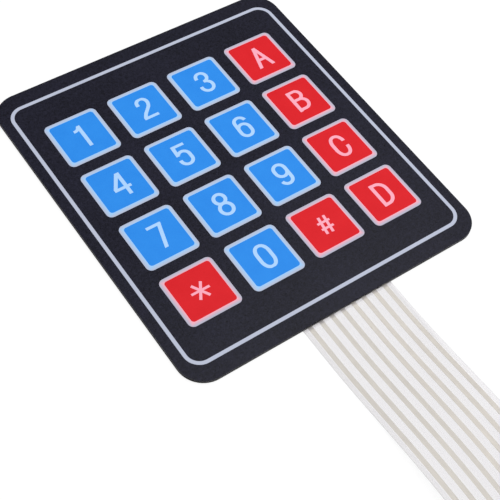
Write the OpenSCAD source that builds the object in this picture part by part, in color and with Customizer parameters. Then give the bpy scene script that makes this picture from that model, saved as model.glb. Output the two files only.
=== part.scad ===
// Membrane keypad with sixteen printed keys, a flat film tail and an eight way socket.
// The origin is at the middle of the pad's rear face. +Z points out of the front,
// +Y points from the tail towards the top row of keys, and the pad lies flat on z = 0.

/* [Pad] */
// Width of the pad, along the key rows
pad_w = 69.2; // [67:0.1:76]
// Height of the pad, along the key columns
pad_h = 76.9; // [75:0.1:84]
// Corner radius of the pad
pad_corner_r = 5.5; // [2:0.25:8]

/* [Printed keys] */
// Distance between key centres along a row
key_pitch_x = 14.7; // [14:0.1:15.1]
// Distance between key centres along a column
key_pitch_y = 14.4; // [13.8:0.1:15.2]
// Outer size of a key's pale outline, which is square
key_size = 11.85; // [10.8:0.05:13]
// Width of a key's pale outline
key_line_w = 0.85; // [0.5:0.05:1.4]
// Outer corner radius of a key's pale outline
key_corner_r = 1.2; // [0.6:0.05:2.5]
// Corner radius of the coloured field inside the outline
field_corner_r = 0.65; // [0.2:0.05:1]
// Shift of the coloured fields to the right of their outlines' middles
field_shift_x = 0.07; // [-0.15:0.01:0.15]
// Shift of the coloured fields above their outlines' middles
field_shift_y = 0.09; // [-0.15:0.01:0.15]

/* [Border line] */
// Distance from the pad's side edges to the border line
border_inset_x = 2.15; // [1.2:0.05:2.6]
// Distance from the pad's top and bottom edges to the border line
border_inset_y = 3.45; // [1.2:0.05:4.2]
// Width of the border line
border_line_w = 0.75; // [0.4:0.05:1.2]
// Outer corner radius of the border line
border_corner_r = 3.4; // [2:0.1:6]

/* [Layers] */
// Thickness of the peel-off paper on the back
liner_t = 0.08; // [0.05:0.01:0.15]
// Thickness of the mounting adhesive on the back
rear_adhesive_t = 0.1; // [0.05:0.01:0.2]
// Thickness of each of the two circuit films
circuit_film_t = 0.1; // [0.075:0.005:0.15]
// Thickness of the printed silver
silver_t = 0.02; // [0.01:0.005:0.03]
// Thickness of the spacer between the circuit films
spacer_t = 0.12; // [0.08:0.01:0.2]
// Thickness of the adhesive under the printed overlay
overlay_adhesive_t = 0.08; // [0.05:0.01:0.15]
// Thickness of the printed overlay
overlay_t = 0.18; // [0.12:0.01:0.25]
// Thickness of the printed ink
ink_t = 0.02; // [0.01:0.005:0.03]

/* [Switch matrix] */
// Diameter of each silver contact pad
contact_pad_d = 6; // [4:0.25:7]
// Diameter of the spacer's hole at each key
spacer_hole_d = 8; // [7.25:0.25:9.5]
// Width of the spacer's air channels from hole to hole
air_channel_w = 1; // [0.6:0.1:2]
// Width of the square window in the overlay's adhesive at each key
key_window_w = 10; // [9:0.1:11]
// Width of a silver track inside the pad
track_w = 0.8; // [0.5:0.05:1]
// Distance between neighbouring side by side tracks
track_pitch = 1.4; // [1.2:0.05:1.6]
// Gap between the outer contact pads and the nearest side by side track
track_gap = 1.5; // [1:0.1:1.8]

/* [Tail] */
// Width of the tail
tail_w = 21; // [20:0.1:24]
// Length of the tail, from the pad's edge to the socket's rear face
tail_l = 73; // [50:1:90]
// Length over which the tail stays flat beside the pad's edge
tail_exit_l = 6; // [4:1:16]
// Height by which the middle of the tail bows up off the surface
tail_bow = 1.9; // [0:0.1:3]
// Distance between neighbouring conductors and contacts
conductor_pitch = 2.54; // [2.5:0.01:2.6]
// Width of a conductor along the tail
conductor_w = 1; // [0.8:0.05:1.3]
// Width of a conductor's end where the contact is crimped
crimp_pad_w = 1.6; // [1.5:0.05:1.7]

/* [Socket] */
// Length of the socket housing
housing_l = 14; // [13.6:0.1:16]
// Thickness of the socket housing
housing_t = 2.54; // [2.5:0.01:2.8]
// Width of each contact's chamber
chamber_w = 1.98; // [1.92:0.01:2.1]
// Height of each contact's chamber
chamber_h = 1.86; // [1.8:0.01:1.95]
// Thickness of the wall at the mating face
face_t = 0.9; // [0.6:0.1:1.2]
// Width of the square hole for each header pin
pin_hole_w = 0.95; // [0.85:0.01:1.1]
// Width of the lead-in round each pin hole, at the mating face
lead_in_w = 1.5; // [1.3:0.05:1.6]
// Thickness of the contacts' sheet metal
contact_t = 0.2; // [0.15:0.01:0.22]
// Length of a contact's closed box
contact_box_l = 6; // [5:0.1:6.4]
// Length of the tail's fingers inside the socket
finger_l = 4.6; // [4.4:0.1:5]

/* [Hidden] */
$fn = 64;

// The matrix has one conductor for each row and each column of keys.
key_rows = 4;
key_columns = 4;
conductors = key_rows + key_columns;

// Heights of the layers' undersides, from the back to the front.
rear_adhesive_z = liner_t;
lower_film_z = rear_adhesive_z + rear_adhesive_t;
row_silver_z = lower_film_z + circuit_film_t;
spacer_z = row_silver_z + silver_t;
column_silver_z = spacer_z + spacer_t;
upper_film_z = column_silver_z + silver_t;
overlay_adhesive_z = upper_film_z + circuit_film_t;
overlay_z = overlay_adhesive_z + overlay_adhesive_t;
ink_z = overlay_z + overlay_t;
// The tail is the two films with the silver and the spacer between them.
tail_t = overlay_adhesive_z - lower_film_z;

// A key's coloured field fills its outline.
field_size = key_size - 2 * key_line_w;
// The adhesive's windows have this corner radius.
window_corner_r = 1;

// The pad's lower edge, where the tail leaves, and the two ends of the socket housing.
pad_edge_y = -pad_h / 2;
housing_rear_y = pad_edge_y - tail_l;
housing_front_y = housing_rear_y - housing_l;

// The socket housing has a chamber for each conductor, in the middle of its thickness.
housing_w = conductors * conductor_pitch;
housing_edge = 0.25;
chamber_floor_z = (housing_t - chamber_h) / 2;
groove_w = 0.3;
groove_depth = 0.16;

// A contact lies on its chamber's floor with this clearance at its sides and top.
contact_clearance = 0.05;
contact_w = chamber_w - 2 * contact_clearance;
contact_h = chamber_h - 2 * contact_clearance;
contact_front_y = housing_front_y + face_t + contact_clearance;
contact_box_y = contact_front_y + contact_box_l;
contact_rear_inset = 0.3;
contact_rear_y = housing_rear_y - contact_rear_inset;
contact_neck_w = 1.1;
crimp_base_w = 1.5;
pin_z = chamber_floor_z + contact_h / 2;
spring_w = 1;
spring_gap = 0.5;

// The prongs of a crimp pierce the tail in two pairs and fold over on top of it.
prong_x = 0.5;
prong_l = 0.9;
prong_inset = 0.95;
prong_pitch = 1.7;
prong_pair_y = [contact_rear_y - prong_inset, contact_rear_y - prong_inset - prong_pitch];
prong_fold_w = 0.42;
pierce_clearance = 0.02;

// A moulded latch in each chamber's window holds the contact's box from behind.
latch_w = 1;
latch_l = 3;
latch_slot = 0.3;
latch_hook_l = 0.5;
latch_clearance = 0.1;

// The tail's route: flat beside the pad, bowed in the middle, flat into the socket.
tail_lap = 6;
entry_l = 2;
tail_end_z = chamber_floor_z + contact_t;
tail_climb = tail_end_z - lower_film_z;
tail_steps = 28;
bow_start_y = pad_edge_y - tail_exit_l;
bow_end_y = housing_rear_y + entry_l;
finger_w = contact_w;
finger_end_y = housing_rear_y - finger_l;

function key_x(column) = (column - (key_columns - 1) / 2) * key_pitch_x;
function key_y(row) = ((key_rows - 1) / 2 - row) * key_pitch_y;
function is_red(column, row) =
    column == key_columns - 1 || (row == key_rows - 1 && column % 2 == 0);

// Place across the tail of a conductor, counted from the left seen from the front.
function conductor_x(index) = (index - (conductors - 1) / 2) * conductor_pitch;

// Distance from the pad's middle to a side by side track, beside and below the contacts.
function side_run(step) = key_x(key_columns - 1) + contact_pad_d / 2 + track_gap + step * track_pitch;
function low_run(step) = key_y(0) + contact_pad_d / 2 + track_gap + step * track_pitch;

// Height of the tail above its place in the pad, where t goes from 0 to 1 along the bow.
function tail_lift(t) = tail_climb * (1 - cos(180 * t)) / 2 + tail_bow * (1 - cos(360 * t)) / 2;
tail_route = concat(
    [[pad_edge_y + tail_lap, 0]],
    [for (i = [0 : tail_steps])
        [bow_start_y + (bow_end_y - bow_start_y) * i / tail_steps, tail_lift(i / tail_steps)]],
    [[housing_rear_y, tail_climb]]
);

module rounded_rectangle(w, h, r) {
    square([w - 2 * r, h], center = true);
    square([w, h - 2 * r], center = true);
    for (x = [-1, 1], y = [-1, 1])
        translate([x * (w / 2 - r), y * (h / 2 - r)])
            circle(r = r);
}

module pad_outline() {
    rounded_rectangle(pad_w, pad_h, pad_corner_r);
}

module sheet_at(z, thickness) {
    translate([0, 0, z])
        linear_extrude(height = thickness)
            children();
}

// Straight track along X or Y with round ends.
module track(from, to, w) {
    translate([min(from.x, to.x) - (from.x == to.x ? w / 2 : 0),
               min(from.y, to.y) - (from.y == to.y ? w / 2 : 0)])
        square([from.x == to.x ? w : abs(to.x - from.x),
                from.y == to.y ? w : abs(to.y - from.y)]);
    for (end = [from, to])
        translate(end)
            circle(d = w);
}

// Strip of one of the tail's layers, which follows the tail's route.
module tail_strip(x, w, z, thickness) {
    under = [for (p = tail_route) [p.x, z + p.y]];
    over = [for (i = [len(tail_route) - 1 : -1 : 0])
        [tail_route[i].x, z + tail_route[i].y + thickness]];
    translate([x - w / 2, 0, 0])
        rotate([90, 0, 90])
            linear_extrude(height = w)
                polygon(concat(under, over));
}

// Flat strip of one of the tail's layers inside the socket.
module finger_strip(x, w, z, thickness) {
    translate([x - w / 2, finger_end_y, z + tail_climb])
        cube([w, housing_rear_y + entry_l / 2 - finger_end_y, thickness]);
}

// Slots that the contacts' prongs cut through one of the tail's layers.
module pierced_slots(z, thickness) {
    slot_w = contact_t + 2 * pierce_clearance;
    slot_l = prong_l + 2 * pierce_clearance;
    for (i = [0 : conductors - 1], side = [-1, 1], y = prong_pair_y)
        translate([conductor_x(i) + side * prong_x - slot_w / 2, y - slot_l / 2, z + tail_climb - thickness])
            cube([slot_w, slot_l, 3 * thickness]);
}

// Layer that covers the pad and runs down the tail into the socket.
module tailed_layer(z, thickness) {
    difference() {
        union() {
            sheet_at(z, thickness)
                children();
            tail_strip(0, tail_w, z, thickness);
            for (i = [0 : conductors - 1])
                finger_strip(conductor_x(i), finger_w, z, thickness);
        }
        pierced_slots(z, thickness);
    }
}

module release_liner() {
    color("#d8c9a6")
        sheet_at(0, liner_t)
            pad_outline();
}

module rear_adhesive() {
    color("#e4e0d2")
        sheet_at(rear_adhesive_z, rear_adhesive_t)
            pad_outline();
}

module lower_circuit_film() {
    color("#ececf0")
        tailed_layer(lower_film_z, circuit_film_t)
            pad_outline();
}

module upper_circuit_film() {
    color("#f0f0f4")
        tailed_layer(upper_film_z, circuit_film_t)
            pad_outline();
}

// One conductor along the tail, with its wider crimped end.
module tail_conductor(index, z) {
    x = conductor_x(index);
    difference() {
        union() {
            tail_strip(x, conductor_w, z, silver_t);
            finger_strip(x, crimp_pad_w, z, silver_t);
        }
        pierced_slots(z, silver_t);
    }
}

// Row conductor on the lower film: contact pads, a bus through them, and a run
// round the left side and along the bottom to the tail. Row 1 takes the outermost run.
module row_conductor(row) {
    step = key_rows - 1 - row;
    left = -side_run(step);
    low = -low_run(step);
    x = conductor_x(row);
    color("#b9b9ae") {
        sheet_at(row_silver_z, silver_t) {
            for (column = [0 : key_columns - 1])
                translate([key_x(column), key_y(row)])
                    circle(d = contact_pad_d);
            track([left, key_y(row)], [key_x(key_columns - 1), key_y(row)], track_w);
            track([left, low], [left, key_y(row)], track_w);
            track([left, low], [x, low], track_w);
            track([x, pad_edge_y + tail_lap / 2], [x, low], conductor_w);
        }
        tail_conductor(row, row_silver_z);
    }
}

// Column conductor under the upper film: contact pads, a bus through them, and a
// run along the bottom to the tail. The columns at the left pass below the others.
module column_conductor(column) {
    low = -low_run(max(0, key_columns - 2 - column));
    x = conductor_x(key_rows + column);
    color("#c4c4b8") {
        sheet_at(column_silver_z, silver_t) {
            for (row = [0 : key_rows - 1])
                translate([key_x(column), key_y(row)])
                    circle(d = contact_pad_d);
            track([key_x(column), low], [key_x(column), key_y(0)], track_w);
            track([min(key_x(column), x), low], [max(key_x(column), x), low], track_w);
            track([x, pad_edge_y + tail_lap / 2], [x, low], conductor_w);
        }
        tail_conductor(key_rows + column, column_silver_z);
    }
}

// Air channels that join the spacer's holes along each row and down the left column.
module air_channels() {
    for (row = [0 : key_rows - 1])
        track([key_x(0), key_y(row)], [key_x(key_columns - 1), key_y(row)], air_channel_w);
    track([key_x(0), key_y(key_rows - 1)], [key_x(0), key_y(0)], air_channel_w);
}

module circuit_spacer() {
    color("#f6f4ea")
        tailed_layer(spacer_z, spacer_t)
            difference() {
                pad_outline();
                for (column = [0 : key_columns - 1], row = [0 : key_rows - 1])
                    translate([key_x(column), key_y(row)])
                        circle(d = spacer_hole_d);
                air_channels();
            }
}

module overlay_adhesive() {
    color("#e8e6dc")
        sheet_at(overlay_adhesive_z, overlay_adhesive_t)
            difference() {
                pad_outline();
                for (column = [0 : key_columns - 1], row = [0 : key_rows - 1])
                    translate([key_x(column), key_y(row)])
                        rounded_rectangle(key_window_w, key_window_w, window_corner_r);
            }
}

module graphic_overlay() {
    color("#2b2a35")
        sheet_at(overlay_z, overlay_t)
            pad_outline();
}

// The colours are printed a little off the middle of the pale outlines.
module key_field() {
    translate([field_shift_x, field_shift_y])
        rounded_rectangle(field_size, field_size, field_corner_r);
}

// Coloured fields of all the keys of one colour.
module key_fields(red) {
    sheet_at(ink_z, ink_t)
        for (column = [0 : key_columns - 1], row = [0 : key_rows - 1])
            if (is_red(column, row) == red)
                translate([key_x(column), key_y(row)])
                    key_field();
}

module blue_key_fields() {
    color("#328cf0")
        key_fields(false);
}

module red_key_fields() {
    color("#e6282d")
        key_fields(true);
}

module key_outlines() {
    color("#c8cbde")
        sheet_at(ink_z, ink_t)
            for (column = [0 : key_columns - 1], row = [0 : key_rows - 1])
                translate([key_x(column), key_y(row)])
                    difference() {
                        rounded_rectangle(key_size, key_size, key_corner_r);
                        key_field();
                    }
}

module border_line() {
    w = pad_w - 2 * border_inset_x;
    h = pad_h - 2 * border_inset_y;
    color("#bcc3d7")
        sheet_at(ink_z, ink_t)
            difference() {
                rounded_rectangle(w, h, border_corner_r);
                rounded_rectangle(w - 2 * border_line_w, h - 2 * border_line_w,
                                  border_corner_r - border_line_w);
            }
}

// Spring leaf inside a contact's box: it drops from the roof and presses the pin down.
module contact_spring() {
    roof = chamber_floor_z + contact_h - contact_t;
    low = pin_z - spring_gap / 2 + contact_t;
    y0 = contact_front_y;
    dip_y = contact_front_y + contact_box_l / 2;
    translate([-spring_w / 2, 0, 0])
        rotate([90, 0, 90])
            linear_extrude(height = spring_w)
                polygon([
                    [y0, roof], [y0 + 2 * contact_t, roof], [dip_y, low + contact_t],
                    [contact_box_y - contact_t, roof - contact_t],
                    [contact_box_y - contact_t, roof - 2 * contact_t],
                    [dip_y, low], [y0, roof - contact_t]
                ]);
}

// Crimp contact in its chamber: box with a spring, neck, and prongs folded over the tail.
module crimp_contact(index) {
    floor_z = chamber_floor_z;
    fold_z = tail_end_z + tail_t;
    inner_w = contact_w - 2 * contact_t;
    color("#c9b98a")
        translate([conductor_x(index), 0, 0]) {
            difference() {
                translate([-contact_w / 2, contact_front_y, floor_z])
                    cube([contact_w, contact_box_l, contact_h]);
                translate([-inner_w / 2, contact_front_y - contact_t, floor_z + contact_t])
                    cube([inner_w, contact_box_l + 2 * contact_t, contact_h - 2 * contact_t]);
            }
            contact_spring();
            translate([-contact_neck_w / 2, contact_box_y - contact_t, floor_z])
                cube([contact_neck_w, contact_rear_y - contact_box_y, contact_t]);
            translate([-crimp_base_w / 2, finger_end_y, floor_z])
                cube([crimp_base_w, contact_rear_y - finger_end_y, contact_t]);
            for (side = [-1, 1], y = prong_pair_y) {
                translate([side * prong_x - contact_t / 2, y - prong_l / 2, floor_z])
                    cube([contact_t, prong_l, fold_z + contact_t - floor_z]);
                translate([side < 0 ? -prong_x : prong_x - prong_fold_w, y - prong_l / 2, fold_z])
                    cube([prong_fold_w, prong_l, contact_t]);
            }
        }
}

// Outer block of the housing, with its edges chamfered at the mating face.
module housing_block() {
    side_profile = [
        [housing_rear_y, 0], [housing_rear_y, housing_t],
        [housing_front_y + housing_edge, housing_t], [housing_front_y, housing_t - housing_edge],
        [housing_front_y, housing_edge], [housing_front_y + housing_edge, 0]
    ];
    plan_profile = [
        [-housing_w / 2, housing_rear_y], [-housing_w / 2, housing_front_y + housing_edge],
        [housing_edge - housing_w / 2, housing_front_y], [housing_w / 2 - housing_edge, housing_front_y],
        [housing_w / 2, housing_front_y + housing_edge], [housing_w / 2, housing_rear_y]
    ];
    intersection() {
        translate([-housing_w / 2, 0, 0])
            rotate([90, 0, 90])
                linear_extrude(height = housing_w)
                    polygon(side_profile);
        linear_extrude(height = housing_t)
            polygon(plan_profile);
    }
}

// Wedge that narrows from the mating face to the pin hole, on two of the hole's sides.
module lead_in_wedge() {
    depth = (lead_in_w - pin_hole_w) / 2;
    translate([0, 0, -lead_in_w / 2])
        linear_extrude(height = lead_in_w)
            polygon([
                [-lead_in_w / 2, -depth], [-lead_in_w / 2, 0], [-pin_hole_w / 2, depth],
                [pin_hole_w / 2, depth], [lead_in_w / 2, 0], [lead_in_w / 2, -depth]
            ]);
}

// Square pin hole with its sloping lead-in, cut through the mating face.
module pin_entry() {
    translate([-pin_hole_w / 2, housing_front_y - face_t / 2, pin_z - pin_hole_w / 2])
        cube([pin_hole_w, 2 * face_t, pin_hole_w]);
    translate([0, housing_front_y, pin_z])
        intersection() {
            lead_in_wedge();
            rotate([0, 90, 0])
                lead_in_wedge();
        }
}

// Latch window in a chamber's roof, with the tongue left standing in it.
module latch_window() {
    roof_z = chamber_floor_z + chamber_h;
    tip_y = contact_box_y + latch_clearance;
    difference() {
        translate([-latch_w / 2 - latch_slot, tip_y - latch_slot, roof_z - contact_clearance])
            cube([latch_w + 2 * latch_slot, latch_l + latch_slot, housing_t]);
        translate([-latch_w / 2, tip_y, roof_z - 2 * contact_clearance])
            cube([latch_w, 2 * latch_l, 2 * housing_t]);
    }
}

// Hook under the latch's tip, which stands behind the contact's box.
module latch_hook() {
    roof_z = chamber_floor_z + chamber_h;
    translate([-latch_w / 2, contact_box_y + latch_clearance, roof_z - latch_hook_l])
        cube([latch_w, latch_hook_l, latch_hook_l + contact_clearance]);
}

module socket_housing() {
    color("#1d1d20") {
        difference() {
            housing_block();
            for (i = [0 : conductors - 1])
                translate([conductor_x(i), 0, 0]) {
                    translate([-chamber_w / 2, housing_front_y + face_t, chamber_floor_z])
                        cube([chamber_w, housing_l, chamber_h]);
                    pin_entry();
                    latch_window();
                }
            for (i = [1 : conductors - 1], z = [0, housing_t])
                translate([(i - conductors / 2) * conductor_pitch - groove_w / 2,
                           housing_front_y - housing_l / 2, z - groove_depth])
                    cube([groove_w, 2 * housing_l, 2 * groove_depth]);
        }
        for (i = [0 : conductors - 1])
            translate([conductor_x(i), 0, 0])
                latch_hook();
    }
}

release_liner();
rear_adhesive();
lower_circuit_film();
for (row = [0 : key_rows - 1])
    row_conductor(row);
circuit_spacer();
for (column = [0 : key_columns - 1])
    column_conductor(column);
upper_circuit_film();
overlay_adhesive();
graphic_overlay();
blue_key_fields();
red_key_fields();
key_outlines();
border_line();
for (index = [0 : conductors - 1])
    crimp_contact(index);
socket_housing();
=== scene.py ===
"""Looks of a membrane keypad: its films, prints, key legends, silver tracks and socket."""

import cmath
import itertools
import math

import bmesh
import bpy
from mathutils import Matrix, Vector


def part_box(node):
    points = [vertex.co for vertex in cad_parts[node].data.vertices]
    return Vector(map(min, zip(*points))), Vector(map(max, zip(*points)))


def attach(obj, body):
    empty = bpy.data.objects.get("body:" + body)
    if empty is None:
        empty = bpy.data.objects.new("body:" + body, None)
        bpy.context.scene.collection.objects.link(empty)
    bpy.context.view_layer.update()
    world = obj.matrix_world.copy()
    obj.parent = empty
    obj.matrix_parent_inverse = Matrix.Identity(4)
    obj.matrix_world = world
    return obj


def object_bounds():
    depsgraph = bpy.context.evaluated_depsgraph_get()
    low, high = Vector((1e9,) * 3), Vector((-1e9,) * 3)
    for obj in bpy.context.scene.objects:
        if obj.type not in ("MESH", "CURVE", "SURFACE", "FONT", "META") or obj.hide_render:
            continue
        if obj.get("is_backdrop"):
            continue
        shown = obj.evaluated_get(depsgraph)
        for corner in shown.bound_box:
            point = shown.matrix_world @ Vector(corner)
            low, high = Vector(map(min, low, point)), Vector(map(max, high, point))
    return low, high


MM = 0.001

# Camera of the photograph, in millimetres from the middle of the pad's rear face.
CAMERA_PLACE = (-94.8, -111.2, 182.3)
CAMERA_AIM = (-8.74, -18.75, 0.8)
CAMERA_ROLL = 9.7
CAMERA_LENS = 82.8
CAMERA_NEAR = 10

# One large soft lamp stands beyond the keypad's right side, where the pad's near half mirrors
# it towards the camera, a weaker one hangs above the pad, and an even light comes from all round.
SIDE_LAMP_PLACE = (180, 20, 480)
SIDE_LAMP_SIZE = 340
SIDE_LAMP_POWER = 1.3
TOP_LAMP_PLACE = (-60, -60, 600)
TOP_LAMP_SIZE = 400
TOP_LAMP_POWER = 0.5
WORLD_LEVEL = 0.52

# The floor lies a hair under the keypad. The camera sees it glow, with the keypad's shadow in
# its shade, and it fades to plain white between these distances from the middle.
FLOOR_SIZE = 6000
FLOOR_GAP = 0.02
FLOOR_GLOW = 0.86
FLOOR_SHADE = (0.17, 0.17, 0.173, 1)
FLOOR_FADE = (180, 420)

# How far a silver print's faces are drawn in, and how near its corners lie that are joined first.
FILM_GAP = 0.002
WELD_DISTANCE = 0.0001

# Samples that work out the rounding of the housing's and the contacts' edges.
EDGE_SAMPLES = 6

# Painted shade makes the tail's clear margins, beside its tracks, a little duller and hazier
# than its middle, and its cut edges more so. Near the pad's edge a painted shadow, where the
# pad stands over the tail, darkens the film and the silver.
TAIL_WIDTH = 21
TRACKS_WIDTH = 19
CUT_EDGE = 0.15
ROOT_SHADE = 0.9
MARGIN_SHADE_SHARE = 0.35
MARGIN_SHADE_ALPHA = 0.018
EDGE_SHADE_ALPHA = 0.03
ROOT_SHADOW_ALPHA = 0.12
ROOT_SHADOW_STRENGTH = 0.7

# Haze of each face of the clear films, from 0 to 1.
CIRCUIT_FILM_HAZE = 0.037
SPACER_HAZE = 0.015

# Keys, in the order of their rows from the top.
KEY_ROWS = ("123A", "456B", "789C", "*0#D")
RED_KEYS = "ABCD*#"
KEY_SIZE = 11.85
LEGEND_NAMES = {"*": "star", "#": "hash"}

# Insets from an outline's outer edge between which its ink goes from the key's tint to plain.
OUTLINE_TINT = (0.95, 0.25)

# A legend's middle lies a little right of and above its key's middle. Its strokes are trimmed
# to its height, and its ink has a thickness.
LEGEND_OFFSET = (0.35, 0.17)
LEGEND_HALF_HEIGHT = 2.92
LEGEND_INK = 0.015

# Width of an upright stroke, of a sign's stroke, and a level stroke's share of that width.
LEGEND_STROKE = 0.8
SIGN_STROKE = 0.6
LEVEL_SHARE = 0.85

# A bend goes in steps of at most this many degrees. Corners within the next distance become
# one, and faces that meet at less than the last angle become one flat face.
BEND_STEP = 7.5
MERGE_DISTANCE = 0.01
FLAT_ANGLE = 0.5

# Strokes of each legend, in millimetres and degrees from the legend's middle: where the
# stroke starts, its heading, and its moves. A number is a straight length, and a pair is a
# bend's radius and angle, which is positive to the left.
LEGEND_STROKES = {
    "1": [((0.2, -3), 90, [6]), ((-1.28, 1.77), 0, [0.25, (1.2, 75)])],
    "2": [((-1.08, 1.1), 90, [0.42, (1.17, -180), (2.19, -46), 1.45, (3, 14), 0.8]),
          ((-1.68, -2.48), 0, [3.41])],
    "3": [((-1.12, 1.22), 90, [0.2, (1.2, -270)]), ((-0.1, 0.17), 0, [0.1, (1.35, -270), 0.3])],
    "4": [((0.7, 3), -90, [6]), ((0.77, 3.2), -121.5, [4.8]), ((-1.98, -0.95), 0, [3.78])],
    "5": [((-1.38, 2.6), 0, [2.97]), ((-0.98, 2.95), -93, [2.85]),
          ((-0.88, 0.52), 50, [(1.25, -140), 0.9, (1.3, -180), 0.22])],
    "6": [((0.09, -2.58), 0, [(1.28, 90), 0.74, (1.28, 180), 0.74, (1.28, 90)]),
          ((-1.2, -1.1), 87.5, [2.42, (1.28, -168)])],
    "7": [((-1.6, 2.6), 0, [3.25]), ((1.34, 2.85), -106, [6.3])],
    "8": [((0, 0.18), 0, [(1.2, 360)]), ((0.02, -2.58), 0, [(1.37, 360)])],
    "9": [((-0.04, 2.58), 180, [(1.27, 90), 0.55, (1.27, 180), 0.55, (1.27, 90)]),
          ((1.25, 1.5), -91, [2.75, (1.28, -165)])],
    "0": [((1.38, -0.82), 90, [1.55, (2.5, 30), (1.235, 120), (2.4, 30),
                               1.55, (2.5, 30), (1.235, 120), (2.4, 30)])],
    "A": [((-1.7, -3), 74.4, [6.35]), ((1.54, -3), 105.4, [6.35]), ((-1.2, -0.66), 0, [2.4])],
    "B": [((-1.34, -3), 90, [6]), ((-1.33, 2.62), 0, [1.38, (1.17, -180), 1.32]),
          ((-1.33, 0.3), 0, [1.38, (1.36, -180), 1.33])],
    "C": [((1.37, 0.78), 90, [(2.3, 30), (1.245, 120), (2.45, 30),
                              1.4, (2.55, 30), (1.245, 120), (2.35, 30), 0.3])],
    "D": [((-1.34, -3), 90, [6]), ((-1.31, 2.55), 0, [0.83, (1.82, -90), 1.44, (1.84, -90), 0.84])],
    "*": [((-2.3, -0.03), 0, [4.07]), ((0.83, 1.7), -122, [4.12]), ((-1.31, 1.68), -58.5, [4.06])],
    "#": [((-1.62, 0.64), 0, [2.92]), ((-1.6, -0.84), 0, [2.88]),
          ((-0.54, 1.96), -98, [4.15]), ((0.75, 1.98), -97.6, [4.2])],
}


class Value:
    """Output of a shader node. Its operators add Math nodes to the same tree."""

    def __init__(self, shading, socket):
        self.shading = shading
        self.socket = socket

    def maths(self, operation, *terms):
        return self.shading.node("ShaderNodeMath", {"operation": operation}, dict(enumerate(terms)))

    def __add__(self, other):
        return self.maths("ADD", self, other)

    def __radd__(self, other):
        return self.maths("ADD", other, self)

    def __sub__(self, other):
        return self.maths("SUBTRACT", self, other)

    def __rsub__(self, other):
        return self.maths("SUBTRACT", other, self)

    def __mul__(self, other):
        return self.maths("MULTIPLY", self, other)

    def __rmul__(self, other):
        return self.maths("MULTIPLY", other, self)

    def __gt__(self, other):
        return self.maths("GREATER_THAN", self, other)

    def __lt__(self, other):
        return self.maths("LESS_THAN", self, other)

    def __abs__(self):
        return self.maths("ABSOLUTE", self)


class Shading:
    """Node tree of a material or of the world."""

    def __init__(self, tree):
        self.tree = tree

    def node(self, kind, settings=None, sockets=None, output=0):
        """Adds a node, sets it up, feeds its sockets and returns one of its outputs."""
        made = self.tree.nodes.new(kind)
        for setting, value in (settings or {}).items():
            setattr(made, setting, value)
        for socket, value in (sockets or {}).items():
            if isinstance(value, Value):
                self.link(value, made.inputs[socket])
            else:
                made.inputs[socket].default_value = value
        return Value(self, made.outputs[output])

    def link(self, value, socket):
        self.tree.links.new(value.socket, socket)

    def seen_directly(self):
        """1 for rays from the camera, straight, mirrored or through glass, and 0 for the others."""
        sockets = ("Is Camera Ray", "Is Glossy Ray", "Is Transmission Ray")
        camera, glossy, through = [self.node("ShaderNodeLightPath", output=s) for s in sockets]
        return camera.maths("MAXIMUM", camera.maths("MAXIMUM", camera, glossy), through)


class Finish(Shading):
    """Nodes of one material, which read the pieces' own coordinates."""

    def __init__(self, name, **constants):
        self.material = bpy.data.materials.new(name)
        self.material.use_nodes = True
        super().__init__(self.material.node_tree)
        self.shader = self.tree.nodes["Principled BSDF"]
        for socket, value in constants.items():
            self.shader.inputs[socket.replace("_", " ")].default_value = value
        self.place = self.node("ShaderNodeTexCoord", output="Object")

    def feed(self, socket, value):
        """Feeds a value that changes over the surface to the shader."""
        self.link(value, self.shader.inputs[socket])

    def axis(self, letter):
        """One coordinate of the surface, in millimetres."""
        metres = self.node("ShaderNodeSeparateXYZ", sockets={"Vector": self.place}, output=letter)
        return metres * (1 / MM)

    def stretched(self, scale):
        """Coordinates stretched along the axes, for a pattern with a direction."""
        return self.node("ShaderNodeMapping", sockets={"Vector": self.place, "Scale": scale})

    def noise(self, size, detail=2.0, place=None):
        """Soft noise from 0 to 1 with features of about this size in millimetres."""
        return self.node(
            "ShaderNodeTexNoise",
            sockets={"Vector": place or self.place, "Scale": 1 / (size * MM), "Detail": detail},
        )

    def contrast(self, value, low, high):
        """Stretches a value so that low becomes 0 and high becomes 1."""
        return self.node(
            "ShaderNodeMapRange",
            {"clamp": True},
            {"Value": value, "From Min": low, "From Max": high},
        )

    def colour(self, first, second, factor):
        """Colour that goes from the first to the second as the factor goes from 0 to 1."""
        return self.node(
            "ShaderNodeMix",
            {"data_type": "RGBA"},
            {0: factor, 6: first, 7: second},
            output=2,
        )

    def bump(self, height, depth, edge=0):
        """Surface normal of a relief of this depth, and of edges rounded this much, in millimetres."""
        sockets = {"Height": height, "Distance": depth * MM}
        if edge:
            rounding = {"Radius": edge * MM}
            sockets["Normal"] = self.node("ShaderNodeBevel", {"samples": EDGE_SAMPLES}, rounding)
        return self.node("ShaderNodeBump", sockets=sockets)


def srgb(red, green, blue):
    """Linear colour, with alpha, from the 0 to 255 levels seen on a screen."""
    levels = [c / 255 for c in (red, green, blue)]
    linear = [c / 12.92 if c <= 0.04045 else ((c + 0.055) / 1.055) ** 2.4 for c in levels]
    return (*linear, 1.0)


def film_grain(finish):
    """Fine even texture that the overlay's hard coat gives to everything printed on it."""
    fine = finish.noise(0.22, detail=3)
    coarse = finish.noise(0.7)
    return fine * 0.7 + coarse * 0.3


def overlay_finish():
    """Matt black hard coat with a fine sparkle in its texture."""
    film = Finish("matt_black_overlay", Specular_IOR_Level=0.08)
    grain = film_grain(film)
    cloud = film.noise(18)
    shade = film.contrast(grain * 0.8 + cloud * 0.2, 0.34, 0.66)
    film.feed("Base Color", film.colour(srgb(1, 1, 10), srgb(36, 36, 52), shade))
    film.feed("Roughness", 0.24 + grain * 0.1)
    film.feed("Normal", film.bump(grain, 0.03))
    return film.material


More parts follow.
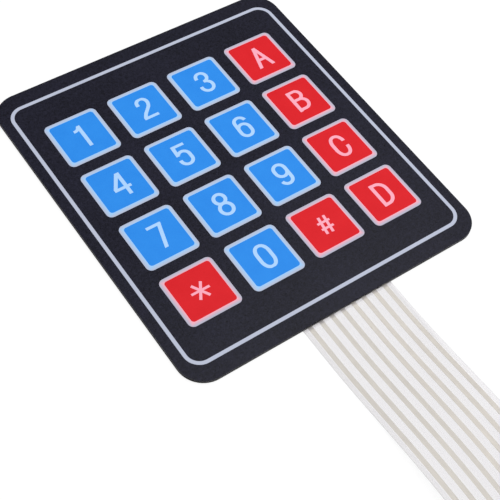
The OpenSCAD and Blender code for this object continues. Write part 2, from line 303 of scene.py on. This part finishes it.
def printed(ink, deep, bright):
    """Screen printed ink: an even colour, a little denser in places, with the film's grain."""
    grain = film_grain(ink)
    density = ink.noise(3.5, detail=3)
    ink.feed("Base Color", ink.colour(deep, bright, grain * 0.5 + density * 0.5))
    ink.feed("Roughness", 0.42 + grain * 0.14)
    ink.feed("Normal", ink.bump(grain, 0.012))
    return ink.material


def print_finish(name, deep, bright):
    return printed(Finish(name, Specular_IOR_Level=0.1), deep, bright)


def outline_finish():
    """Pale ink, which takes a little of each key's own colour towards the inside of its outline."""
    ink = Finish("pale_outline_ink", Specular_IOR_Level=0.1)
    step_x, step_y = [step / MM for step in key_steps()]
    x = ink.axis("X")
    y = ink.axis("Y")
    right_column = x > step_x
    last_row = y < -step_y
    last_digit = (x > -step_x) * (x < 0)
    on_red = right_column.maths("MAXIMUM", right_column, last_row * (1 - last_digit))
    beside, above = [off_key_middle(place, step) for place, step in ((x, step_x), (y, step_y))]
    off_middle = x.maths("MAXIMUM", beside, above)
    outwards = ink.contrast(off_middle, *[KEY_SIZE / 2 - inset for inset in OUTLINE_TINT])
    inner = ink.colour(srgb(157, 209, 255), srgb(251, 176, 191), on_red)
    outer = ink.colour(srgb(183, 194, 217), srgb(188, 185, 202), on_red)
    bright = ink.colour(inner, outer, outwards)
    deep = ink.colour(srgb(150, 160, 190), bright, 0.8)
    return printed(ink, deep, bright)


def off_key_middle(place, step):
    """Distance along one axis from the middle of the nearest key, in millimetres."""
    return abs(place.maths("FRACT", place * (1 / step)) - 0.5) * step


def root_shadow_mask(finish):
    """Painted shadow: 1 at the pad's edge, where the tail leaves it, falling to 0 a little way off."""
    pad_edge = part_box("graphic_overlay")[0].y / MM
    return finish.contrast(abs(finish.axis("Y") - pad_edge), ROOT_SHADE, 0)


def clear_film_finish(name, deep, bright, haze_alpha):
    """Clear polyester with a milky haze and faint lengthwise rolling marks. Painted shade makes its
    margins and cut edges duller, and a painted shadow darkens its root at the pad's edge.
    """
    film = Finish(name, Specular_IOR_Level=0.3)
    rolling = film.noise(1.0, place=film.stretched((1.0, 0.03, 1.0)))
    haze = film.noise(7, detail=3)
    off_middle = abs(film.axis("X"))
    cut_edge = film.contrast(off_middle, TAIL_WIDTH / 2 - CUT_EDGE, TAIL_WIDTH / 2)
    margin = film.contrast(off_middle, TRACKS_WIDTH / 2, TRACKS_WIDTH / 2 + CUT_EDGE)
    root = root_shadow_mask(film)
    milk = film.colour(deep, bright, rolling * 0.5 + haze * 0.5)
    # Painted shade: the margins and cut edges, and the painted shadow at the root, pull the film
    # towards grey and make it less clear.
    edge_and_margin_shade = margin * MARGIN_SHADE_SHARE + cut_edge * (1 - MARGIN_SHADE_SHARE)
    painted_shade = root.maths("MAXIMUM", root, edge_and_margin_shade)
    shade_alpha = margin * MARGIN_SHADE_ALPHA + cut_edge * EDGE_SHADE_ALPHA + root * ROOT_SHADOW_ALPHA
    # srgb(120, 118, 118) is the grey of the painted shade and shadow.
    film.feed("Base Color", film.colour(milk, srgb(120, 118, 118), painted_shade))
    film.feed("Roughness", 0.3 + haze * 0.15)
    film.feed("Alpha", haze_alpha * (0.7 + haze * 0.6) + shade_alpha)
    film.feed("Normal", film.bump(rolling, 0.01))
    return film.material


def silver_finish(name, deep, bright):
    """Printed silver paste: dull beige grey, with the fine weave of the printing screen.
    A painted shadow darkens it near the pad's edge.
    """
    silver = Finish(name, Metallic=0.25)
    grain = silver.noise(0.12, detail=3)
    streak = silver.noise(0.5, place=silver.stretched((1.0, 0.08, 1.0)))
    paste = silver.colour(deep, bright, grain * 0.4 + streak * 0.6)
    # Painted shadow: towards the pad's edge the paste is mixed towards a dark brown grey.
    root_shadow = root_shadow_mask(silver) * ROOT_SHADOW_STRENGTH
    silver.feed("Base Color", silver.colour(paste, srgb(84, 78, 68), root_shadow))
    silver.feed("Roughness", 0.42 + grain * 0.2)
    silver.feed("Normal", silver.bump(grain, 0.01))
    return silver.material


def adhesive_finish():
    """Transfer adhesive seen only at its cut edge, where it is painted dark grey, though the adhesive
    is clear.
    """
    glue = Finish("dark_adhesive", Specular_IOR_Level=0.3)
    grain = glue.noise(0.3)
    glue.feed("Base Color", glue.colour(srgb(34, 33, 38), srgb(52, 50, 56), grain))
    glue.feed("Roughness", 0.5 + grain * 0.2)
    return glue.material


def liner_finish():
    """Waxed release paper with its fibres."""
    paper = Finish("release_paper")
    fibres = paper.noise(0.5, detail=4, place=paper.stretched((1.0, 0.25, 1.0)))
    cloud = paper.noise(9, detail=3)
    density = fibres * 0.5 + cloud * 0.5
    paper.feed("Base Color", paper.colour(srgb(222, 221, 219), srgb(242, 241, 239), density))
    paper.feed("Roughness", 0.48 + fibres * 0.2)
    paper.feed("Normal", paper.bump(fibres, 0.015))
    return paper.material


def contact_finish():
    """Tin plated phosphor bronze, with the marks of its rolling."""
    metal = Finish("tinned_contact", Metallic=1.0)
    rolling = metal.noise(0.25, place=metal.stretched((1.0, 0.05, 1.0)))
    metal.feed("Base Color", metal.colour(srgb(196, 184, 150), srgb(228, 220, 196), rolling))
    metal.feed("Roughness", 0.22 + rolling * 0.18)
    metal.feed("Normal", metal.bump(rolling, 0.004, edge=0.04))
    return metal.material


def housing_finish():
    """Moulded black nylon with a finely eroded surface."""
    nylon = Finish("black_nylon", Specular_IOR_Level=0.4)
    grain = nylon.noise(0.1, detail=3)
    cloud = nylon.noise(3)
    density = grain * 0.4 + cloud * 0.6
    nylon.feed("Base Color", nylon.colour(srgb(22, 22, 24), srgb(36, 36, 39), density))
    nylon.feed("Roughness", 0.38 + grain * 0.18)
    nylon.feed("Normal", nylon.bump(grain, 0.012, edge=0.1))
    return nylon.material


def floor_finish():
    """Pale card that looks white, with the keypad's soft shadow kept on it near the keypad."""
    card = Finish("pale_floor", Roughness=0.9, Specular_IOR_Level=0.0)
    card.shader.inputs["Base Color"].default_value = srgb(228, 228, 228)
    shade = card.node("ShaderNodeBsdfDiffuse", sockets={"Color": FLOOR_SHADE}, output="BSDF")
    glow = card.node("ShaderNodeEmission", sockets={"Strength": FLOOR_GLOW}, output="Emission")
    shaded = card.node("ShaderNodeAddShader", sockets={0: shade, 1: glow}, output="Shader")
    plain = card.node("ShaderNodeEmission", output="Emission")
    away = card.node("ShaderNodeVectorMath", {"operation": "LENGTH"}, {0: card.place}, "Value")
    far = card.contrast(away * (1 / MM), *FLOOR_FADE)
    white = card.node("ShaderNodeMixShader", sockets={0: far, 1: shaded, 2: plain}, output="Shader")
    lit = Value(card, card.shader.outputs["BSDF"])
    layers = {0: card.seen_directly(), 1: lit, 2: white}
    seen = card.node("ShaderNodeMixShader", sockets=layers, output="Shader")
    card.link(seen, card.tree.nodes["Material Output"].inputs["Surface"])
    return card.material


def paint(node, material):
    """Gives a CAD node its finish."""
    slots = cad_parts[node].data.materials
    slots.clear()
    slots.append(material)


def part_from_film(node):
    """Draws a silver print's faces in by a hair, so that they don't coincide with the clear film's."""
    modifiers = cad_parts[node].modifiers
    modifiers.new("joined_edges", "WELD").merge_threshold = WELD_DISTANCE * MM
    hair = modifiers.new("hair_gap", "DISPLACE")
    hair.mid_level = 0
    hair.strength = -FILM_GAP * MM


def add_object(name, data):
    """Object made of a mesh, a lamp or a lens, put in the scene."""
    made = bpy.data.objects.new(name, data)
    bpy.context.scene.collection.objects.link(made)
    return made


def write_mesh(shape, mesh):
    """Writes a finished bmesh into a mesh and lets the bmesh go."""
    shape.to_mesh(mesh)
    shape.free()
    return mesh


def stroke_stops(start, heading, moves):
    """Places and headings, on the complex plane, of the stops along a stroke's middle line."""
    place = complex(*start)
    ahead = cmath.rect(1, math.radians(heading))
    yield place, ahead
    for move in moves:
        if isinstance(move, tuple):
            radius, angle = move
            steps = math.ceil(abs(angle) / BEND_STEP)
            turn = cmath.rect(1, math.radians(angle / steps))
            centre = place + 1j * ahead * math.copysign(radius, angle)
            for _ in range(steps):
                place = centre + (place - centre) * turn
                ahead *= turn
                yield place, ahead
        else:
            place += ahead * move
            yield place, ahead


def nib_frame(place, ahead, width):
    """Where a nib's unit edge lies at a stop: square to the stroke, and shorter where that is level."""
    length = width * abs(complex(LEVEL_SHARE * ahead.real, ahead.imag))
    turn = Matrix.Rotation(cmath.phase(ahead), 4, "Z")
    return Matrix.Translation((place.real, place.imag, 0)) @ turn @ Matrix.Diagonal((1, length, 1, 1))


def draw_stroke(sheet, stops, width):
    """Draws a stroke as a flat strip, by pulling the nib's edge from stop to stop."""
    ends = [sheet.verts.new((0, side / 2, 0)) for side in (-1, 1)]
    frames = [nib_frame(place, ahead, width) for place, ahead in stops]
    sheet.edges.new(ends)
    bmesh.ops.transform(sheet, matrix=frames[0], verts=ends)
    for before, after in itertools.pairwise(frames):
        pulled = bmesh.ops.extrude_edge_only(sheet, edges=[sheet.edges.get(ends)])["geom"]
        ends = [part for part in pulled if isinstance(part, bmesh.types.BMVert)]
        bmesh.ops.transform(sheet, matrix=after @ before.inverted(), verts=ends)


def stroke_object(name, stops, width):
    """One stroke of a legend as a thin solid, trimmed to the legend's height."""
    sheet = bmesh.new()
    draw_stroke(sheet, stops, width)
    bmesh.ops.remove_doubles(sheet, verts=sheet.verts, dist=MERGE_DISTANCE)
    for side in (1, -1):
        bmesh.ops.bisect_plane(
            sheet, geom=[*sheet.verts, *sheet.edges, *sheet.faces],
            plane_co=(0, side * LEGEND_HALF_HEIGHT, 0), plane_no=(0, side, 0), clear_outer=True,
        )
    stroke = add_object(name, write_mesh(sheet, bpy.data.meshes.new(name)))
    ink = stroke.modifiers.new("ink", "SOLIDIFY")
    ink.thickness = LEGEND_INK
    ink.offset = 1
    return stroke


def united(name, strokes):
    """One solid, with few flat faces, from the overlapping solids of a legend's strokes."""
    first, *others = strokes
    for other in others:
        union = first.modifiers.new("union", "BOOLEAN")
        union.operation = "UNION"
        union.object = other
    graph = bpy.context.evaluated_depsgraph_get()
    mesh = bpy.data.meshes.new_from_object(first.evaluated_get(graph))
    for stroke in strokes:
        bpy.data.objects.remove(stroke)
    solid = bmesh.new()
    solid.from_mesh(mesh)
    bmesh.ops.dissolve_limit(
        solid, angle_limit=math.radians(FLAT_ANGLE), verts=solid.verts, edges=solid.edges
    )
    mesh.name = name
    return add_object(name, write_mesh(solid, mesh))


def key_steps():
    """Distances, in metres, between key centres along a row and along a column."""
    low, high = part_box("key_outlines")
    step_x = (high.x - low.x - KEY_SIZE * MM) / (len(KEY_ROWS[0]) - 1)
    step_y = (high.y - low.y - KEY_SIZE * MM) / (len(KEY_ROWS) - 1)
    return step_x, step_y


def key_place(column, row):
    """Middle of a key on top of its print, in metres, from the box that holds all the outlines."""
    low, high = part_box("key_outlines")
    step_x, step_y = key_steps()
    x = low.x + KEY_SIZE * MM / 2 + column * step_x
    y = high.y - KEY_SIZE * MM / 2 - row * step_y
    return Vector((x, y, high.z))


def make_legend(sign, column, row, inks):
    """A key's legend, laid on its coloured field."""
    name = "legend_" + LEGEND_NAMES.get(sign, sign)
    width = SIGN_STROKE if sign in LEGEND_NAMES else LEGEND_STROKE
    strokes = [stroke_object(name, stroke_stops(*stroke), width) for stroke in LEGEND_STROKES[sign]]
    legend = united(name, strokes)
    offset = Vector((*LEGEND_OFFSET, 0)) * MM
    legend.data.transform(Matrix.Translation(key_place(column, row) + offset) @ Matrix.Scale(MM, 4))
    legend.data.materials.clear()
    legend.data.materials.append(inks[sign in RED_KEYS])
    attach(legend, "root")


def make_legends():
    """Pale legends, each of which takes a little of the colour that it is printed on."""
    inks = {
        False: print_finish("legend_ink_on_blue", srgb(163, 202, 246), srgb(181, 218, 255)),
        True: print_finish("legend_ink_on_red", srgb(242, 163, 182), srgb(255, 179, 198)),
    }
    for row, signs in enumerate(KEY_ROWS):
        for column, sign in enumerate(signs):
            make_legend(sign, column, row, inks)


def paint_nodes():
    """Gives every CAD node its own finish."""
    adhesive = adhesive_finish()
    silvers = {
        "column": silver_finish("column_silver", srgb(171, 167, 157), srgb(202, 198, 188)),
        # The row tracks are the same paste, painted lighter to offset the shade of the spacer and the
        # upper film that lie over them.
        "row": silver_finish("row_silver_painted_lighter", srgb(184, 180, 169), srgb(216, 212, 202)),
    }
    contact = contact_finish()
    circuit_film = clear_film_finish(
        "hazy_circuit_film", srgb(242, 226, 248), srgb(254, 240, 255), CIRCUIT_FILM_HAZE
    )
    spacer_film = clear_film_finish(
        "clear_spacer", srgb(236, 234, 234), srgb(246, 244, 243), SPACER_HAZE
    )
    finishes = {
        "release_liner": liner_finish(),
        "rear_adhesive": adhesive,
        "overlay_adhesive": adhesive,
        "lower_circuit_film": circuit_film,
        "upper_circuit_film": circuit_film,
        "circuit_spacer": spacer_film,
        "graphic_overlay": overlay_finish(),
        "blue_key_fields": print_finish("blue_ink", srgb(32, 127, 223), srgb(50, 148, 240)),
        "red_key_fields": print_finish("red_ink", srgb(204, 16, 27), srgb(226, 35, 43)),
        "key_outlines": outline_finish(),
        "border_line": print_finish("pale_border_ink", srgb(176, 183, 204), srgb(194, 199, 216)),
        "socket_housing": housing_finish(),
    }
    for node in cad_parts:
        if "_conductor_" in node:
            paint(node, silvers[node.partition("_")[0]])
            part_from_film(node)
        elif node.startswith("crimp_contact_"):
            paint(node, contact)
        else:
            paint(node, finishes[node])


def make_floor():
    """White floor that the keypad lies on."""
    sheet = bmesh.new()
    bmesh.ops.create_grid(sheet, x_segments=1, y_segments=1, size=FLOOR_SIZE * MM / 2)
    mesh = write_mesh(sheet, bpy.data.meshes.new("floor"))
    mesh.transform(Matrix.Translation((0, 0, -FLOOR_GAP * MM)))
    mesh.materials.append(floor_finish())
    add_object("floor", mesh)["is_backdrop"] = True


def make_world():
    """Even grey light all round, which looks white where the camera sees it."""
    world = bpy.data.worlds.new("studio")
    bpy.context.scene.world = world
    world.use_nodes = True
    sky = Shading(world.node_tree)
    background = sky.tree.nodes["Background"]
    background.inputs["Color"].default_value = (1, 1, 1, 1)
    sky.link(WORLD_LEVEL + (1 - WORLD_LEVEL) * sky.seen_directly(), background.inputs["Strength"])


def make_lamp(name, place, size, power):
    """Square soft lamp that points at the keypad."""
    lamp = bpy.data.lights.new(name, "AREA")
    lamp.shape = "SQUARE"
    lamp.size = size * MM
    lamp.energy = power
    hung = add_object(name, lamp)
    hung.location = Vector(place) * MM
    hung.rotation_euler = (-hung.location).to_track_quat("-Z", "Y").to_euler()


def make_camera():
    """Camera at the photograph's viewing angle, rolled as the photograph is."""
    lens = bpy.data.cameras.new("camera")
    lens.lens = CAMERA_LENS
    lens.clip_start = CAMERA_NEAR * MM
    camera = add_object("camera", lens)
    camera.location = Vector(CAMERA_PLACE) * MM
    towards = (Vector(CAMERA_AIM) - Vector(CAMERA_PLACE)).to_track_quat("-Z", "Y")
    roll = Matrix.Rotation(math.radians(CAMERA_ROLL), 4, "Z")
    camera.rotation_euler = (towards.to_matrix().to_4x4() @ roll).to_euler()
    bpy.context.scene.camera = camera


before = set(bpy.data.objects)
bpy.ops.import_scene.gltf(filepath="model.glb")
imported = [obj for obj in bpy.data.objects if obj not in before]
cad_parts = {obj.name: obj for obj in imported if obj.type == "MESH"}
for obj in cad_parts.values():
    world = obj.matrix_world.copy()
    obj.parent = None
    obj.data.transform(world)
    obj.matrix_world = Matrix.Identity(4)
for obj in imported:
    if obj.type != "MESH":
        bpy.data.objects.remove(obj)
cad_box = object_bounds()
bpy.context.scene.view_settings.view_transform = "Standard"
paint_nodes()
make_legends()
make_floor()
make_world()
make_lamp("side_lamp", SIDE_LAMP_PLACE, SIDE_LAMP_SIZE, SIDE_LAMP_POWER)
make_lamp("top_lamp", TOP_LAMP_PLACE, TOP_LAMP_SIZE, TOP_LAMP_POWER)
make_camera()
boxes = {"cad": cad_box, "visual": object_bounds()}
{name: [list(corner) for corner in box] for name, box in boxes.items()}
